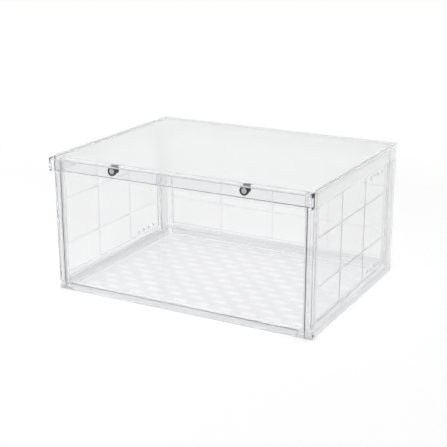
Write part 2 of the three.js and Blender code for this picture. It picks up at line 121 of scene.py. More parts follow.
class ShaderGraph:
    """A node tree with short calls to add and join its nodes."""

    def __init__(self, tree: NodeTree) -> None:
        """Empties the tree that it is given.

        Args:
            tree: The tree of a material or of the world.
        """
        self.tree = tree
        self.tree.nodes.clear()

    def add(self, kind: str, settings: dict[str, str] | None = None, **values: object) -> Node:
        """Adds a node.

        Args:
            kind: The node's type name without its ShaderNode prefix.
            settings: Properties of the node itself.
            **values: Values of its inputs, with spaces of their names written as underscores.

        Returns:
            The new node.
        """
        node = self.tree.nodes.new("ShaderNode" + kind)
        for key, value in (settings or {}).items():
            setattr(node, key, value)
        for key, value in values.items():
            node.inputs[key.replace("_", " ")].default_value = value
        return node

    def join(self, source: NodeSocket, target: NodeSocket) -> None:
        """Links an output to an input."""
        self.tree.links.new(source, target)

    def combine(self, operation: str, first: NodeSocket, second: NodeSocket) -> NodeSocket:
        """Works out one number from two.

        Args:
            operation: What is done with them, as the Math node calls it.
            first: Output with the first number.
            second: Output with the second number.

        Returns:
            An output with the result.
        """
        node = self.add("Math", {"operation": operation})
        self.join(first, node.inputs[0])
        self.join(second, node.inputs[1])
        return node.outputs[0]

    def ramp(
        self, value: NodeSocket, source: Span, target: Span, curve: str = "LINEAR",
    ) -> NodeSocket:
        """Maps a value from one range to another.

        Args:
            value: Output with the value.
            source: The range that it runs through.
            target: The range of the result, which never leaves it.
            curve: How the result runs from end to end, as the Map Range node calls it.

        Returns:
            An output with the result.
        """
        node = self.add(
            "MapRange", {"interpolation_type": curve},
            From_Min=source[0], From_Max=source[1], To_Min=target[0], To_Max=target[1],
        )
        self.join(value, node.inputs["Value"])
        return node.outputs["Result"]

    def noise(self, point: NodeSocket, size: float, detail: float) -> NodeSocket:
        """Adds soft noise.

        Args:
            point: The coordinates that it reads.
            size: Size of its patches, in metres.
            detail: How many finer layers it has.

        Returns:
            The noise's value.
        """
        node = self.add("TexNoise", Scale=1.0 / size, Detail=detail)
        self.join(point, node.inputs["Vector"])
        return node.outputs["Fac"]

    def bump(self, shader: Node, height: NodeSocket, strength: float, distance: float) -> None:
        """Gives a shader's surface a fine relief.

        Args:
            shader: The shader.
            height: Output with the relief's height.
            strength: How much of it shows.
            distance: The height that a value of 1 stands for, in metres.
        """
        node = self.add("Bump", Strength=strength, Distance=distance)
        self.join(height, node.inputs["Height"])
        self.join(node.outputs["Normal"], shader.inputs["Normal"])

    def mix(self, share: NodeSocket, first: Node, second: Node) -> Node:
        """Mixes two shaders.

        Args:
            share: Output with the second one's share.
            first: The shader at a share of 0.
            second: The shader at a share of 1.

        Returns:
            The mixed shader.
        """
        node = self.add("MixShader")
        self.join(share, node.inputs[0])
        self.join(first.outputs[0], node.inputs[1])
        self.join(second.outputs[0], node.inputs[2])
        return node

    def looked_at(self) -> NodeSocket:
        """Tells rays that show what they meet from those that only gather its light.

        Returns:
            An output with 1 for the rays that show it, and 0 for the others.
        """
        path = self.add("LightPath")
        straight = path.outputs["Is Camera Ray"]
        bounced = self.combine("MAXIMUM", straight, path.outputs["Is Glossy Ray"])
        return self.combine("MAXIMUM", bounced, path.outputs["Is Transmission Ray"])

    def end(self, surface: Node, kind: str = "OutputMaterial") -> None:
        """Leads a shader to the output of a material or of the world."""
        self.join(surface.outputs[0], self.add(kind).inputs["Surface"])

    def end_clear(self, surface: Node, tint: Colour) -> None:
        """Ends a material that lets shadow rays pass.

        Args:
            surface: The shader that every other ray meets.
            tint: The share of light that shadow rays keep.
        """
        through = self.add("BsdfTransparent", Color=rgba(tint))
        self.end(self.mix(self.add("LightPath").outputs["Is Shadow Ray"], surface, through))


def new_material(name: str) -> tuple[Material, ShaderGraph]:
    """Makes an empty material.

    Args:
        name: The material's name.

    Returns:
        The material and its emptied graph.
    """
    material = bpy.data.materials.new(name)
    material.use_nodes = True
    return material, ShaderGraph(material.node_tree)


@dataclass(frozen=True)
class ClearPlastic:
    """Clear moulded plastic: faintly tinted, rippled and unevenly polished."""

    name: str
    colour: Colour
    clarity: float
    rough: Span
    ripple: float
    refraction: float = 1.3
    ripple_size: float = 18 * MM
    ripple_height: float = 1 * MM
    ripple_detail: float = 1.0
    cloud_size: float = 45 * MM
    cloud_detail: float = 3.0

    def material(self) -> Material:
        """Builds the material.

        Returns:
            A refracting material that lets shadow rays pass.
        """
        material, graph = new_material(self.name)
        point = graph.add("TexCoord").outputs["Object"]
        plastic = graph.add(
            "BsdfPrincipled",
            Base_Color=rgba(self.colour),
            Transmission_Weight=self.clarity,
            IOR=self.refraction,
        )
        clouds = graph.noise(point, self.cloud_size, self.cloud_detail)
        graph.join(graph.ramp(clouds, NOISE, self.rough), plastic.inputs["Roughness"])
        waves = graph.noise(point, self.ripple_size, self.ripple_detail)
        graph.bump(plastic, waves, self.ripple, self.ripple_height)
        graph.end_clear(plastic, CLEAR_SHADOW)
        return material


@dataclass(frozen=True)
class SawnRimPaintedShade:
    """A sawn rim painted dark, as painted shade for the dark line that a clear rim shows, with
    fine saw marks in its gloss.
    """

    name: str
    colour: Colour
    clarity: float
    refraction: float = 1.5
    shade_outside_only: bool = False
    rough: Span = (0.12, 0.24)
    saw_pitch: float = 0.6 * MM
    saw_detail: float = 2.0

    def material(self) -> Material:
        """Builds the material.

        Returns:
            A material with painted shade: dark from both sides, or dark only from outside and
                clear from within the plastic.
        """
        material, graph = new_material(self.name)
        # The dark colour is painted shade, which stands in for the dark line along a clear rim
        rim = graph.add(
            "BsdfPrincipled",
            Base_Color=rgba(self.colour),
            Transmission_Weight=self.clarity,
            IOR=self.refraction,
        )
        if self.shade_outside_only:
            self.clear_within(graph, rim)
        point = graph.add("TexCoord").outputs["Object"]
        marks = graph.noise(point, self.saw_pitch, self.saw_detail)
        graph.join(graph.ramp(marks, NOISE, self.rough), rim.inputs["Roughness"])
        graph.end_clear(rim, CLEAR_SHADOW)
        return material

    def clear_within(self, graph: ShaderGraph, rim: Node) -> None:
        """Makes the rim's painted shade show only from outside: the rim is clear to rays that meet
        it from within the plastic.

        Args:
            graph: The material's graph.
            rim: The rim's shader.
        """
        # Painted shade from one side only: the rim turns white and clear where it is met from
        # within
        within = graph.add("NewGeometry").outputs["Backfacing"]
        shade = graph.add("MixRGB", Color1=rgba(self.colour), Color2=rgba(WHITE))
        graph.join(within, shade.inputs["Fac"])
        graph.join(shade.outputs[0], rim.inputs["Base Color"])
        clarity = graph.ramp(within, UNIT, (self.clarity, 1.0))
        graph.join(clarity, rim.inputs["Transmission Weight"])


@dataclass(frozen=True)
class TurnedNickel:
    """Bright nickel plate over turned steel, with faint rings about the piece's own centre."""

    name: str
    colour: Colour
    rough: Span = (0.16, 0.34)
    ring_pitch: float = 2.2 * MM
    ring_wobble: float = 0.4
    ring_depth: float = 0.25
    ring_height: float = 0.05 * MM
    cloud_size: float = 2.5 * MM
    cloud_detail: float = 4.0

    def material(self) -> Material:
        """Builds the material.

        Returns:
            A metal whose rings read the piece's turning map.
        """
        material, graph = new_material(self.name)
        point = graph.add("TexCoord").outputs["Object"]
        metal = graph.add("BsdfPrincipled", Base_Color=rgba(self.colour), Metallic=1.0)
        clouds = graph.noise(point, self.cloud_size, self.cloud_detail)
        graph.join(graph.ramp(clouds, NOISE, self.rough), metal.inputs["Roughness"])
        rings = graph.add(
            "TexWave", {"wave_type": "RINGS", "rings_direction": "Z"},
            Scale=WAVE_PERIOD / self.ring_pitch, Distortion=self.ring_wobble,
        )
        turning = graph.add("UVMap", {"uv_map": TURNING_MAP}).outputs["UV"]
        graph.join(turning, rings.inputs["Vector"])
        graph.bump(metal, rings.outputs["Fac"], self.ring_depth, self.ring_height)
        graph.end(metal)
        return material


@dataclass(frozen=True)
class SatinMoulding:
    """Opaque moulded plastic with a fine spark-eroded grain."""

    name: str
    colour: Colour
    rough: Span
    mirror: float = 0.12
    grain_size: float = 0.25 * MM
    grain_depth: float = 0.35
    grain_height: float = 0.05 * MM
    grain_detail: float = 2.0

    def material(self) -> Material:
        """Builds the material.

        Returns:
            A satin material.
        """
        material, graph = new_material(self.name)
        plastic = graph.add(
            "BsdfPrincipled", Base_Color=rgba(self.colour), Specular_IOR_Level=self.mirror,
        )
        point = graph.add("TexCoord").outputs["Object"]
        grain = graph.noise(point, self.grain_size, self.grain_detail)
        graph.join(graph.ramp(grain, NOISE, self.rough), plastic.inputs["Roughness"])
        graph.bump(plastic, grain, self.grain_depth, self.grain_height)
        graph.end(plastic)
        return material


@dataclass(frozen=True)
class StudioPaper:
    """White seamless paper that keeps a soft shadow."""

    name: str = "studio_paper"
    colour: Colour = (0.82, 0.82, 0.82)
    glow: float = 0.34
    fade: Span = (0.35, 0.9)

    def material(self) -> Material:
        """Builds the material.

        Returns:
            A pale diffuse material that fades to plain white away from the box, where it is
            looked at.
        """
        material, graph = new_material(self.name)
        looks = graph.looked_at()
        paper = graph.add("BsdfDiffuse", Color=rgba(self.colour))
        glow = graph.add("Emission", Color=rgba(WHITE))
        graph.join(graph.ramp(looks, UNIT, (0.0, self.glow)), glow.inputs["Strength"])
        near = graph.add("AddShader")
        graph.join(paper.outputs[0], near.inputs[0])
        graph.join(glow.outputs[0], near.inputs[1])

        reach = graph.add("VectorMath", {"operation": "LENGTH"})
        graph.join(graph.add("TexCoord").outputs["Object"], reach.inputs[0])
        fade = graph.ramp(reach.outputs["Value"], self.fade, UNIT, "SMOOTHSTEP")
        far = graph.add("Emission", Color=rgba(WHITE), Strength=1.0)
        graph.end(graph.mix(graph.combine("MULTIPLY", fade, looks), near, far))
        return material


class Coat(Enum):
    """Every finish on the box, each named for the faces that take it."""

    WALL = ClearPlastic(
        "clear_wall", (0.942, 0.943, 0.945), clarity=0.885, rough=(0.03, 0.07), ripple=0.02,
    )
    SOFT = ClearPlastic(
        "soft_rim", (0.985, 0.986, 0.988), clarity=0.45, rough=(0.14, 0.2), ripple=0.01,
        refraction=1.2,
    )
    BAND = ClearPlastic(
        "base_band", (0.98, 0.981, 0.984), clarity=0.6, rough=(0.12, 0.18), ripple=0.01,
    )
    FLOOR = ClearPlastic(
        "clear_floor", (0.84, 0.841, 0.844), clarity=0.82, rough=(0.06, 0.1), ripple=0.02,
    )
    TOP = ClearPlastic(
        "frosted_top", (0.94, 0.941, 0.943), clarity=0.77, rough=(0.06, 0.1), ripple=0.01,
    )
    DOOR = ClearPlastic(
        "polished_door", (0.975, 0.976, 0.978), clarity=1.0, rough=(0.01, 0.03), ripple=0.01,
        refraction=1.2,
    )
    # Painted shade: these rim finishes are painted dark for the dark lines that clear plastic
    # shows along its edges
    EDGE = SawnRimPaintedShade("sawn_rim_painted_shade", (0.03, 0.025, 0.05), clarity=0.05)
    LIP = SawnRimPaintedShade("lip_rim_painted_shade", (0.2, 0.18, 0.26), clarity=0.25)
    # Painted shade that shows only from outside the plastic
    END = SawnRimPaintedShade(
        "end_rim_painted_shade", (0.12, 0.1, 0.17), clarity=0.2, refraction=1.2, shade_outside_only=True,
    )
    NICKEL = TurnedNickel("bright_nickel", (0.5, 0.5, 0.51))
    PIN = TurnedNickel("pin_nickel", (0.82, 0.82, 0.83))
    BLACK = SatinMoulding("black_moulding", (0.006, 0.006, 0.007), rough=(0.32, 0.5))


Finishes = dict[Coat, Material]


def corners(node: str) -> tuple[Vector, Vector]:
    """Gives the low and high corners of a solid's box."""
    low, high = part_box(node)
    return Vector(low), Vector(high)


def cut_faces(bm: BMesh, faces: Iterable[BMFace], point: Vector, normal: Vector) -> list[BMFace]:
    """Cuts some faces along a plane.

    Args:
        bm: The mesh.
        faces: Faces to cut.
        point: A point of the plane.
        normal: The plane's direction.

    Returns:
        The faces on both sides of the cut.
    """
    chosen = list(faces)
    edges = dict.fromkeys(edge for face in chosen for edge in face.edges)
    verts = dict.fromkeys(vert for face in chosen for vert in face.verts)
    parts = bmesh.ops.bisect_plane(
        bm, geom=[*chosen, *edges, *verts], plane_co=point, plane_no=normal, dist=MERGE_GAP,
    )
    return [part for part in parts["geom"] if isinstance(part, BMFace)]


@dataclass
class Piece:
    """One piece of the box, which stands for one solid of the frame."""

    COATS: ClassVar[tuple[Coat, ...]]

    node: str
    name: str
    body: Body
    slot: Slot

    def model(self) -> BMesh:
        """Models the piece.

        Returns:
            Its mesh, with a finish on every face.
        """
        raise NotImplementedError

    def coat(self, face: BMFace) -> Coat:
        """Picks a face's finish, which is the piece's first one if it has no other."""
        return self.COATS[0]

    def paint(self, bm: BMesh) -> None:
        """Numbers the finish of every face."""
        for face in bm.faces:
            face.material_index = self.COATS.index(self.coat(face))

    def build(self, finishes: Finishes) -> None:
        """Makes the piece and puts it on its body.

        Args:
            finishes: The material of every finish.
        """
        bm = self.model()
        mesh = bpy.data.meshes.new(self.name)
        bm.to_mesh(mesh)
        bm.free()
        for coat in self.COATS:
            mesh.materials.append(finishes[coat])
        piece = bpy.data.objects.new(self.name, mesh)
        bpy.context.scene.collection.objects.link(piece)
        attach(piece, self.body.value)
        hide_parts(self.node)
        LOG.info("%s: %d faces on body %s", self.name, len(mesh.polygons), self.body.value)


@dataclass
class MouldedPanel(Piece):
    """One moulded wall: a copy of its solid with the rims rounded."""

    COATS: ClassVar[tuple[Coat, ...]] = (Coat.WALL, Coat.SOFT)

    rim_round: float = 0.3 * MM
    rim_steps: int = 2
    merge_gap: float = 0.002 * MM
    flat_angle: float = math.radians(0.6)
    curve_angle: float = math.radians(32)
    facet_width: float = 2.8 * MM
    flat_limit: float = 0.985

    def __post_init__(self) -> None:
        """Reads the corners of the solid's box."""
        self.low, self.high = corners(self.node)

    def model(self) -> BMesh:
        """Models the panel.

        Returns:
            Its mesh, with a finish on every face.
        """
        bm = self.merged_copy()
        self.add_relief(bm)
        self.round_rims(bm)
        self.split_for_finishes(bm)
        self.paint(bm)
        return bm

    def merged_copy(self) -> BMesh:
        """Copies the solid, with its corners merged and its flat faces whole.

        Returns:
            The copy.
        """
        bm = bmesh.new()
        bm.from_mesh(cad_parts[self.node].data)
        bmesh.ops.remove_doubles(bm, verts=bm.verts, dist=self.merge_gap)
        bmesh.ops.dissolve_limit(
            bm, angle_limit=self.flat_angle, verts=bm.verts, edges=bm.edges,
        )
        for face in bm.faces:
            bends = [edge.calc_face_angle(0.0) for edge in face.edges]
            curved = any(self.flat_angle < bend < self.curve_angle for bend in bends)
            longest = max(edge.calc_length() for edge in face.edges)
            face.smooth = curved and face.calc_area() < self.facet_width * longest
        return bm

    def add_relief(self, bm: BMesh) -> None:
        """Adds the panel's fine relief, where it has any."""

    def round_rims(self, bm: BMesh) -> None:
        """Rounds every outer rim.

        Args:
            bm: The mesh.
        """
        convex = [edge for edge in bm.edges if edge.is_convex]
        rims = [edge for edge in convex if edge.calc_face_angle() > self.curve_angle]
        rounded = bmesh.ops.bevel(
            bm, geom=rims, offset=self.rim_round, offset_type="OFFSET", segments=self.rim_steps,
            profile=0.5, affect="EDGES", material=-1, loop_slide=True,
        )
        for face in rounded["faces"]:
            face.smooth = True

    def split_for_finishes(self, bm: BMesh) -> None:
        """Cuts faces where one finish meets another, where they do."""

    def slopes(self, face: BMFace) -> bool:
        """Tells whether a face belongs to a rounded rim or to a rib's flank."""
        return max(abs(value) for value in face.normal) < self.flat_limit

    def coat(self, face: BMFace) -> Coat:
        """Picks the softer finish on rims and ribs."""
        return Coat.SOFT if self.slopes(face) else Coat.WALL


@dataclass
class BaseTray(MouldedPanel):
    """The base with staggered low pads on its floor, which keep the shoes off it."""

    COATS: ClassVar[tuple[Coat, ...]] = (Coat.WALL, Coat.FLOOR, Coat.BAND, Coat.DOOR)

    floor_top: float = 4.4 * MM
    floor_thickness: float = 2.4 * MM
    pad_length: float = 20 * MM
    pad_width: float = 10 * MM
    pad_pitch: float = 33 * MM
    row_pitch: float = 17.5 * MM
    pad_margin: float = 9 * MM
    pad_slope: float = 2.4 * MM
    pad_rise: float = 0.05 * MM
    pad_round: float = 0.7 * MM
    pad_steps: int = 2
    haze_rise: float = 0.035 * MM
    wall: float = 2.6 * MM
    sill_depth: float = 12.8 * MM
    padded: tuple[Vector, Vector] = field(init=False)

    def add_relief(self, bm: BMesh) -> None:
        """Raises the rows of pads from the floor.

        Args:
            bm: The mesh.
        """
        floor = self.floor_face(bm)
        bmesh.ops.inset_region(bm, faces=[floor], thickness=self.pad_margin, use_even_offset=True)
        xs = [vert.co.x for vert in floor.verts]
        ys = [vert.co.y for vert in floor.verts]
        low, high = Vector((min(xs), min(ys))), Vector((max(xs), max(ys)))
        self.padded = (low, high)
        rows = int((high.y - low.y - self.pad_width) / self.row_pitch) + 1
        columns = int((high.x - low.x - self.pad_length) / self.pad_pitch) + 1
        first_row = (low.y + high.y - (rows - 1) * self.row_pitch) / 2
        centres = [first_row + self.row_pitch * row for row in range(rows)]
        strips = [floor]
        for centre in centres:
            for edge in (centre - self.pad_width / 2, centre + self.pad_width / 2):
                strips = cut_faces(bm, strips, Vector((0, edge, 0)), Vector((0, 1, 0)))
        reach = self.pad_width / 4
        middles = [(face, face.calc_center_median().y) for face in strips]
        pads: list[BMFace] = []
        for row, centre in enumerate(centres):
            strip = [face for face, y in middles if abs(y - centre) < reach]
            pads += self.pads_in_row(bm, strip, columns - row % 2)
        self.raise_pads(bm, pads)

    def floor_face(self, bm: BMesh) -> BMFace:
        """Finds the top of the floor.

        Args:
            bm: The mesh.

        Returns:
            The largest face that looks up at the floor's level.
        """
        facing_up = [face for face in bm.faces if face.normal.z > SQUARE]
        heights = [(face, face.calc_center_median().z) for face in facing_up]
        level = [face for face, z in heights if abs(z - self.floor_top) < LEVEL_GAP]
        return max(level, key=BMFace.calc_area)

    def pads_in_row(self, bm: BMesh, strip: list[BMFace], count: int) -> list[BMFace]:
        """Cuts one strip of the floor into its pads and the gaps between them.

        Args:
            bm: The mesh.
            strip: The strip's faces.
            count: How many pads it has.

        Returns:
            The faces that become pads.
        """
        centres = [(index - (count - 1) / 2) * self.pad_pitch for index in range(count)]
        for centre in centres:
            for edge in (centre - self.pad_length / 2, centre + self.pad_length / 2):
                strip = cut_faces(bm, strip, Vector((edge, 0, 0)), Vector((1, 0, 0)))
        middles = [(face, face.calc_center_median().x) for face in strip]
        reach = self.pad_length / 4
        return [face for face, x in middles if any(abs(x - centre) < reach for centre in centres)]

    def raise_pads(self, bm: BMesh, pads: list[BMFace]) -> None:
        """Lifts the pads from the floor and rounds their crowns and slopes.

        Args:
            bm: The mesh.
            pads: The faces that become pads.
        """
        bmesh.ops.inset_individual(bm, faces=pads, thickness=self.pad_slope, depth=self.pad_rise)
        bends = dict.fromkeys(
            edge for pad in pads for vert in pad.verts for edge in vert.link_edges
        )
        rounded = bmesh.ops.bevel(
            bm, geom=list(bends), offset=self.pad_round, offset_type="OFFSET",
            segments=self.pad_steps, profile=0.5, affect="EDGES", material=-1,
        )
        for face in rounded["faces"]:
            face.smooth = True

    def coat(self, face: BMFace) -> Coat:
        """Picks the pale finish on the outer band, a clear one inside it, and haze round the pads.

        Args:
            face: A face of the tray.

        Returns:
            Its finish.
        """
        middle = face.calc_center_median()
        rise = middle.z - self.floor_top
        if abs(face.normal.z) < FACING:
            if rise > self.pad_rise and self.inside(middle):
                return Coat.DOOR
            return Coat.WALL if middle.y > self.high.y - self.wall else Coat.BAND
        in_floor = -self.floor_thickness - LEVEL_GAP < rise < self.haze_rise
        return Coat.FLOOR if in_floor and self.among_pads(middle) else Coat.WALL

    def among_pads(self, middle: Vector) -> bool:
        """Tells whether a face's middle lies among the pads, and not in the margin round them."""
        low, high = self.padded
        return low.x < middle.x < high.x and low.y < middle.y < high.y

    def inside(self, middle: Vector) -> bool:
        """Tells whether a face's middle lies within the outer wall and behind the sill."""
        across = abs(middle.x) < self.high.x - self.wall
        return across and self.low.y + self.sill_depth < middle.y < self.high.y - self.wall


@dataclass
class TopCover(MouldedPanel):
    """The top panel, frosted over its plate, with a clear rail that holds the catches."""

    COATS: ClassVar[tuple[Coat, ...]] = (
        Coat.WALL, Coat.TOP, Coat.DOOR, Coat.SOFT, Coat.BLACK,
    )

    CUP: ClassVar[str] = "right_catch_housing"

    rim_height: float = 1.6 * MM
    plate_thickness: float = 2.4 * MM
    rail_depth: float = 24 * MM
    bore_gap: float = 0.5 * MM
    bore_tilt: float = 0.5

    def __post_init__(self) -> None:
        """Reads the height of the plate, and the place and size of the cups in the rail."""
        super().__post_init__()
        self.plate_top = self.high.z - self.rim_height
        low, high = corners(self.CUP)
        self.cup_middle = (low + high) / 2
        self.cup_radius = (high.z - low.z) / 2

    def coat(self, face: BMFace) -> Coat:
        """Picks frost on the plate, black painted in the bores for the black cup seen through
        them, polish on the rail and soft rims.

        Args:
            face: A face of the panel.

        Returns:
            Its finish.
        """
        middle = face.calc_center_median()
        depth = self.plate_top - middle.z
        on_plate = -LEVEL_GAP < depth < self.plate_thickness + LEVEL_GAP
        if on_plate and abs(face.normal.z) > FACING:
            return Coat.TOP
        # Painted black on the clear bore walls: it stands in for the black cup seen through the
        # rail
        if self.in_bore(middle) and abs(face.normal.y) < self.bore_tilt:
            return Coat.BLACK
        on_rim = self.slopes(face) and depth < self.plate_thickness
        if on_rim or depth < -LEVEL_GAP:
            return Coat.SOFT
        if middle.y < self.low.y + self.rail_depth and depth > 0.0:
            return Coat.DOOR
        return Coat.SOFT if face.normal.z < -FACING else Coat.WALL

    def in_bore(self, middle: Vector) -> bool:
        """Tells whether a face's middle lies at the wall of a bore, close round its cup."""
        reach = math.hypot(abs(middle.x) - self.cup_middle.x, middle.z - self.cup_middle.z)
        return reach < self.cup_radius + self.bore_gap


@dataclass
class DoorSheet(MouldedPanel):
    """The door, whose sawn rim is painted dark along the front, as painted shade."""

    COATS: ClassVar[tuple[Coat, ...]] = (Coat.DOOR, Coat.EDGE, Coat.SOFT, Coat.BLACK)

    BAR: ClassVar[str] = "door_handle"
    DISC: ClassVar[str] = "right_strike_disc"

    bottom: float = 11.6 * MM
    top_border: float = 1.5 * MM
    seat_gap: float = 1.0 * MM
    painted_shade_strip: float = 2.0 * MM

    def __post_init__(self) -> None:
        """Reads where the rim's strip of painted shade, the pull bar and the discs' seats end."""
        super().__post_init__()
        self.strip_back = self.low.y + self.painted_shade_strip
        self.bar_bottom = corners(self.BAR)[0].z
        self.seat_reach = corners(self.DISC)[1].x + self.seat_gap

    def split_for_finishes(self, bm: BMesh) -> None:
        """Cuts the rim where the pull bar begins to cover it, and along its strip of painted
        shade.
        """
        cut_faces(bm, bm.faces, Vector((0, 0, self.bar_bottom)), Vector((0, 0, 1)))
        cut_faces(bm, bm.faces, Vector((0, self.strip_back, 0)), Vector((0, 1, 0)))

    def coat(self, face: BMFace) -> Coat:
        """Picks painted shade on the rim's front strip, and black painted round the catches'
        seats, where it stands in for the dark ring seen round each disc.

        Args:
            face: A face of the door.

        Returns:
            Its finish.
        """
        middle = face.calc_center_median()
        if abs(face.normal.y) > SQUARE:
            return Coat.DOOR
        behind_bar = self.bar_bottom < middle.z < self.high.z - self.top_border
        # Painted black on the clear seat walls: it stands in for the dark ring seen round each
        # disc
        if behind_bar and abs(middle.x) < self.seat_reach:
            return Coat.BLACK
        if not self.bottom - LEVEL_GAP < middle.z < self.bar_bottom:
            return Coat.SOFT
        # Painted shade: the rim's front strip takes the dark rim finish
        return Coat.EDGE if middle.y < self.strip_back else Coat.DOOR


@dataclass
class PullBar(MouldedPanel):
    """The bar along the door's top, with rims painted dark as painted shade on its end plates and
    along its lower edge.
    """

    COATS: ClassVar[tuple[Coat, ...]] = (Coat.DOOR, Coat.LIP, Coat.END, Coat.SOFT)

    wall: float = 2.2 * MM
    seat_gap: float = 0.06 * MM
    end_border: float = 2.4 * MM
    front_skin: float = 0.3 * MM
    front_tilt: float = 0.3
    lip_depth: float = 2.42 * MM
    lip_tilt: float = 0.6
    borders: set[BMFace] = field(init=False, default_factory=set)

    def add_relief(self, bm: BMesh) -> None:
        """Draws the rear face off the door, so that each has a face of its own."""
        seated = [vert for vert in bm.verts if vert.co.y > self.high.y - TOUCH_GAP]
        bmesh.ops.translate(bm, vec=(0, -self.seat_gap, 0), verts=seated)

    def split_for_finishes(self, bm: BMesh) -> None:
        """Cuts the bar where its end plates and its top begin, and draws a border on each end.

        Args:
            bm: The mesh.
        """
        plate = self.high.x - self.wall
        for x in (-plate, plate):
            cut_faces(bm, bm.faces, Vector((x, 0, 0)), Vector((1, 0, 0)))
        cut_faces(bm, bm.faces, Vector((0, 0, self.high.z - self.wall)), Vector((0, 0, 1)))
        square = [face for face in bm.faces if abs(face.normal.x) > SQUARE]
        reach = self.high.x - TOUCH_GAP
        ends = [face for face in square if abs(face.calc_center_median().x) > reach]
        border = bmesh.ops.inset_individual(
            bm, faces=ends, thickness=self.end_border, use_even_offset=True,
        )
        self.borders = set(border["faces"])

    def coat(self, face: BMFace) -> Coat:
        """Picks painted shade on the ends' rims and the lower edge, and a soft upper edge.

        Args:
            face: A face of the bar.

        Returns:
            Its finish.
        """
        middle = face.calc_center_median()
        # Painted shade: the ends' borders and rims take the dark end finish
        if face in self.borders:
            return Coat.DOOR if middle.y < self.low.y + self.end_border else Coat.END
        if abs(middle.x) > self.high.x - self.wall and abs(face.normal.x) < SQUARE:
            in_front = middle.y < (self.low.y + self.high.y) / 2
            return Coat.DOOR if in_front and face.normal.y < -self.front_tilt else Coat.END
        if middle.z > self.high.z - self.wall and middle.y < self.low.y + self.front_skin:
            return Coat.SOFT
        # Painted shade along the lower rear edge
        at_back = middle.y > self.high.y - self.lip_depth
        return Coat.LIP if at_back and face.normal.z < -self.lip_tilt else Coat.DOOR


@dataclass
class TurnedPiece(Piece):
    """A round piece spun from its half section about the middle of its solid."""

    axis: Axis
    steps: int = 48
    rim_round: float = 0.25 * MM
    rim_steps: int = 3
    rim_angle: float = math.radians(40)
    flat_limit: float = 0.999

    def __post_init__(self) -> None:
        """Reads the solid's place and size."""
        low, high = corners(self.node)
        self.centre = (low + high) / 2
        along = self.axis.value.lower()
        self.start = getattr(low, along)
        self.length = getattr(high, along) - self.start
        self.radius = (high.z - low.z) / 2

    def section(self) -> Section:
        """Gives the half section as (radius, distance from the piece's low end).

        Returns:
            Its points, from one end of the axis to the other.
        """
        raise NotImplementedError

    def model(self) -> BMesh:
        """Turns the piece and seats it in the box.

        Returns:
            Its mesh, with a finish on every face.
        """
        bm = bmesh.new()
        verts = [bm.verts.new((radius, 0.0, along)) for radius, along in self.section()]
        edges = [bm.edges.new(pair) for pair in zip(verts, verts[1:])]
        bmesh.ops.spin(
            bm, geom=[*verts, *edges], cent=(0, 0, 0), axis=(0, 0, 1), angle=math.tau,
            steps=self.steps, use_merge=True,
        )
        bmesh.ops.remove_doubles(bm, verts=bm.verts, dist=MERGE_GAP)
        bmesh.ops.recalc_face_normals(bm, faces=bm.faces)
        rims = [edge for edge in bm.edges if edge.calc_face_angle() > self.rim_angle]
        bmesh.ops.bevel(
            bm, geom=rims, offset=self.rim_round, offset_type="OFFSET", segments=self.rim_steps,
            profile=0.5, affect="EDGES", material=-1,
        )
        for face in bm.faces:
            face.smooth = abs(face.normal.z) < self.flat_limit
        self.paint(bm)
        self.map_turning(bm)
        bmesh.ops.transform(bm, matrix=self.seat(), verts=bm.verts)
        bmesh.ops.recalc_face_normals(bm, faces=bm.faces)
        return bm

    def map_turning(self, bm: BMesh) -> None:
        """Lays a map on the mesh whose origin is the axis, in metres.

        Args:
            bm: The mesh, still on the lathe.
        """
        layer = bm.loops.layers.uv.new(TURNING_MAP)
        for face in bm.faces:
            for loop in face.loops:
                loop[layer].uv = loop.vert.co.xy

    def seat(self) -> Matrix:
        """Gives the move from the lathe to the box.

        Returns:
            A matrix that lays the lathe's axis along the piece's own.
        """
        if self.axis is Axis.DEEP:
            place = Vector((self.centre.x, self.start, self.centre.z))
            return Matrix.Translation(place) @ Matrix.Rotation(-math.pi / 2, 4, "X")
        place = Vector((self.start, self.centre.y, self.centre.z))
        return Matrix.Translation(place) @ Matrix.Rotation(math.pi / 2, 4, "Y")


@dataclass
class StrikeDisc(TurnedPiece):
    """The steel disc in the door, with a dished face in a blackened border."""

    COATS: ClassVar[tuple[Coat, ...]] = (Coat.NICKEL, Coat.BLACK)

    dish: float = 0.35 * MM
    border: float = 1.6 * MM
    slope: float = 0.5 * MM

    @property
    def dish_radius(self) -> float:
        """Gives the radius inside the border."""
        return self.radius - self.border

    def section(self) -> Section:
        """Gives the half section.

        Returns:
            Its points, from the dished face to the rear.
        """
        return [
            (0.0, self.dish), (self.dish_radius - self.slope, self.dish),
            (self.dish_radius, 0.0), (self.radius, 0.0),
            (self.radius, self.length), (0.0, self.length),
        ]

    def coat(self, face: BMFace) -> Coat:
        """Picks the black finish outside the dished face."""
        spread = max(vert.co.xy.length for vert in face.verts)
        return Coat.BLACK if spread > self.dish_radius + TOUCH_GAP else Coat.NICKEL


@dataclass
class CatchHousing(TurnedPiece):
    """The black cup that holds a magnet, open to the front."""

    COATS: ClassVar[tuple[Coat, ...]] = (Coat.BLACK,)

    seat_radius: float = 3.3 * MM
    seat_depth: float = 4.6 * MM

    def section(self) -> Section:
        """Gives the half section.

        Returns:
            Its points, from the bottom of the magnet's seat to the rear.
        """
        return [
            (0.0, self.seat_depth), (self.seat_radius, self.seat_depth), (self.seat_radius, 0.0),
            (self.radius, 0.0), (self.radius, self.length), (0.0, self.length),
        ]


@dataclass
class CatchMagnet(TurnedPiece):
    """The magnet in its cup."""

    COATS: ClassVar[tuple[Coat, ...]] = (Coat.NICKEL,)

    def section(self) -> Section:
        """Gives the half section."""
        return [(0.0, 0.0), (self.radius, 0.0), (self.radius, self.length), (0.0, self.length)]


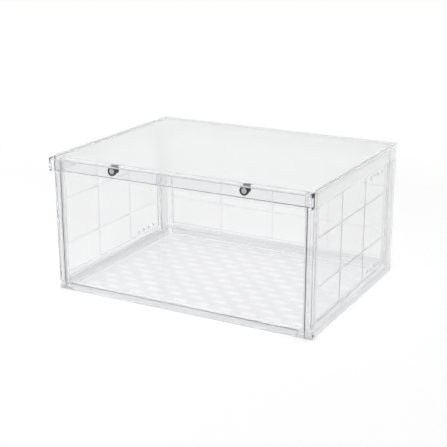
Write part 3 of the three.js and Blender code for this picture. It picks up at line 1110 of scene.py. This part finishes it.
@dataclass
class HingePin(TurnedPiece):
    """A headed pin: its head lies outside, so the right one points the other way."""

    COATS: ClassVar[tuple[Coat, ...]] = (Coat.PIN, Coat.BLACK)

    side: Side = Side.LEFT
    shank_radius: float = 2.0 * MM
    head_height: float = 1.2 * MM
    head_crown: float = 0.25 * MM
    crown_reach: float = 0.6
    crown_drop: float = 0.35
    spot_reach: float = 0.65
    tip_taper: float = 0.5 * MM

    def section(self) -> Section:
        """Gives the half section.

        Returns:
            Its points, from the head to the tip, or the other way on the right.
        """
        points = [
            (0.0, 0.0),
            (self.radius * self.crown_reach, self.head_crown * self.crown_drop),
            (self.radius, self.head_crown),
            (self.radius, self.head_height),
            (self.shank_radius, self.head_height),
            (self.shank_radius, self.length - self.tip_taper),
            (self.shank_radius - self.tip_taper, self.length),
            (0.0, self.length),
        ]
        if self.side is Side.LEFT:
            return points
        return [(radius, self.length - along) for radius, along in reversed(points)]

    def coat(self, face: BMFace) -> Coat:
        """Picks the black finish in the middle of the head.

        Args:
            face: A face of the pin, still on the lathe.

        Returns:
            Its finish.
        """
        along, outwards = face.calc_center_median().z, -face.normal.z
        if self.side is Side.RIGHT:
            along, outwards = self.length - along, -outwards
        spread = max(vert.co.xy.length for vert in face.verts)
        on_head = outwards > FACING and along < self.head_crown
        return Coat.BLACK if on_head and spread < self.radius * self.spot_reach else Coat.PIN


@dataclass
class Shell:
    """The five moulded panels of the box."""

    rib_round: float = 0.6 * MM
    rib_steps: int = 3

    def panels(self) -> list[MouldedPanel]:
        """Lists the panels.

        Returns:
            The panels, from the base up.
        """
        wall = (Body.BOX, Slot.CLEAR_WALL)
        soft = {"rim_round": self.rib_round, "rim_steps": self.rib_steps}
        sides = [
            MouldedPanel(f"{side.value}_side_panel", f"{side.value}_side_wall", *wall, **soft)
            for side in Side
        ]
        return [
            BaseTray("base_panel", "base_tray", *wall),
            *sides,
            MouldedPanel("back_panel", "back_wall", *wall, **soft),
            TopCover("top_panel", "top_cover", Body.BOX, Slot.CLEAR_TOP),
        ]

    def build(self, finishes: Finishes) -> None:
        """Builds every panel."""
        for panel in self.panels():
            panel.build(finishes)


@dataclass
class Door:
    """The drop-front door with its pull bar."""

    bar_round: float = 0.2 * MM

    def build(self, finishes: Finishes) -> None:
        """Builds the sheet and the bar.

        Args:
            finishes: The material of every finish.
        """
        clear = (Body.DOOR, Slot.CLEAR_DOOR)
        DoorSheet("door_panel", "door_sheet", *clear).build(finishes)
        PullBar("door_handle", "pull_bar", *clear, rim_round=self.bar_round).build(finishes)


@dataclass
class MagneticCatch:
    """One catch: a disc in the door, and a magnet in its cup behind it."""

    side: Side

    def build(self, finishes: Finishes) -> None:
        """Builds the catch's three pieces.

        Args:
            finishes: The material of every finish.
        """
        side = self.side.value
        steel, black = Slot.BRIGHT_STEEL, Slot.BLACK_PLASTIC
        pieces = [
            StrikeDisc(f"{side}_strike_disc", f"{side}_strike", Body.DOOR, steel, Axis.DEEP),
            CatchHousing(f"{side}_catch_housing", f"{side}_cup", Body.BOX, black, Axis.DEEP),
            CatchMagnet(f"{side}_catch_magnet", f"{side}_magnet", Body.BOX, steel, Axis.DEEP),
        ]
        for piece in pieces:
            piece.build(finishes)


@dataclass
class Hinge:
    """The two pins that the door turns on."""

    def build(self, finishes: Finishes) -> None:
        """Builds both pins.

        Args:
            finishes: The material of every finish.
        """
        steel = (Body.BOX, Slot.BRIGHT_STEEL, Axis.ACROSS)
        for side in Side:
            names = (f"{side.value}_hinge_pin", f"{side.value}_pin")
            HingePin(*names, *steel, side=side).build(finishes)


@dataclass
class Softbox:
    """A square lamp that looks at a point of the box."""

    name: str
    place: Place
    size: float
    power: float
    aim: Place = (0.0, 0.0, 0.08)

    def build(self) -> None:
        """Hangs the lamp."""
        lamp = bpy.data.lights.new(self.name, "AREA")
        lamp.shape = "SQUARE"
        lamp.size = self.size
        lamp.energy = self.power
        rig = bpy.data.objects.new(self.name, lamp)
        rig.location = self.place
        away = Vector(self.aim) - Vector(self.place)
        rig.rotation_euler = away.to_track_quat("-Z", "Y").to_euler()
        bpy.context.scene.collection.objects.link(rig)


@dataclass
class Studio:
    """White paper all round, soft lamps and a dimmer ceiling, seen by the photograph's camera."""

    floor_radius: float = 8.0
    floor_sides: int = 64
    floor_drop: float = 0.2 * MM
    fill: float = 0.5
    ceiling: float = 0.75
    ceiling_rise: Span = (0.35, 0.8)
    bounces: int = 48
    frame_px: int = 447
    focal_px: float = 1050.4
    sensor: float = 36.0
    azimuth: float = math.radians(28.38)
    elevation: float = math.radians(17.56)
    distance: float = 1.3906
    aim: Place = (-0.0063, -0.0001, 0.0807)

    def build(self) -> None:
        """Sets up the floor, the world, the lamps and the camera."""
        self.lay_floor()
        self.paint_world()
        for lamp in self.lamps():
            lamp.build()
        self.set_camera()
        scene = bpy.context.scene
        scene.view_settings.view_transform = "Standard"
        for kind in ("max", "transmission", "glossy", "transparent_max"):
            setattr(scene.cycles, f"{kind}_bounces", self.bounces)
        LOG.info("studio: floor, world, lamps and camera")

    def lamps(self) -> list[Softbox]:
        """Lists the lamps.

        Returns:
            A broad key lamp from the upper left and a weak one from the right.
        """
        return [
            Softbox("key_lamp", place=(-1.3, -1.0, 1.9), size=1.6, power=20.0),
            Softbox("rim_lamp", place=(1.6, 0.9, 1.6), size=1.2, power=8.0),
        ]

    def lay_floor(self) -> None:
        """Lays the paper under the box."""
        bm = bmesh.new()
        bmesh.ops.create_circle(
            bm, cap_ends=True, segments=self.floor_sides, radius=self.floor_radius,
        )
        bmesh.ops.translate(bm, vec=(0, 0, -self.floor_drop), verts=bm.verts)
        mesh = bpy.data.meshes.new("paper_floor")
        bm.to_mesh(mesh)
        bm.free()
        mesh.materials.append(StudioPaper().material())
        floor = bpy.data.objects.new("paper_floor", mesh)
        bpy.context.scene.collection.objects.link(floor)

    def paint_world(self) -> None:
        """Makes the world white where it is looked at, with a dimmer ceiling in reflections."""
        world = bpy.data.worlds.new("studio")
        bpy.context.scene.world = world
        world.use_nodes = True
        graph = ShaderGraph(world.node_tree)
        height = graph.add("SeparateXYZ")
        graph.join(graph.add("TexCoord").outputs["Generated"], height.inputs[0])
        dimmed = graph.ramp(height.outputs["Z"], self.ceiling_rise, (1.0, self.ceiling))
        straight = graph.add("LightPath").outputs["Is Camera Ray"]
        seen = graph.add("Background", Color=rgba(WHITE))
        graph.join(graph.combine("MAXIMUM", dimmed, straight), seen.inputs["Strength"])
        fill = graph.add("Background", Color=rgba(WHITE), Strength=self.fill)
        graph.end(graph.mix(graph.looked_at(), fill, seen), "OutputWorld")

    def set_camera(self) -> None:
        """Stands the camera where the photograph was taken from."""
        data = bpy.data.cameras.new("photo_camera")
        data.sensor_width = self.sensor
        data.lens = self.focal_px * self.sensor / self.frame_px
        camera = bpy.data.objects.new("photo_camera", data)
        level = math.cos(self.elevation)
        back = Vector((
            math.sin(self.azimuth) * level,
            -math.cos(self.azimuth) * level,
            math.sin(self.elevation),
        ))
        camera.location = Vector(self.aim) + back * self.distance
        camera.rotation_euler = (-back).to_track_quat("-Z", "Y").to_euler()
        bpy.context.scene.collection.objects.link(camera)
        bpy.context.scene.camera = camera


def main() -> None:
    """Builds the studio and every piece of the box."""
    logging.basicConfig(level=logging.INFO, format="%(name)s: %(message)s")
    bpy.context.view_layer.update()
    Studio().build()
    finishes = {coat: coat.value.material() for coat in Coat}
    Shell().build(finishes)
    Door().build(finishes)
    for side in Side:
        MagneticCatch(side).build(finishes)
    Hinge().build(finishes)


if __name__ == "__main__":
    main()
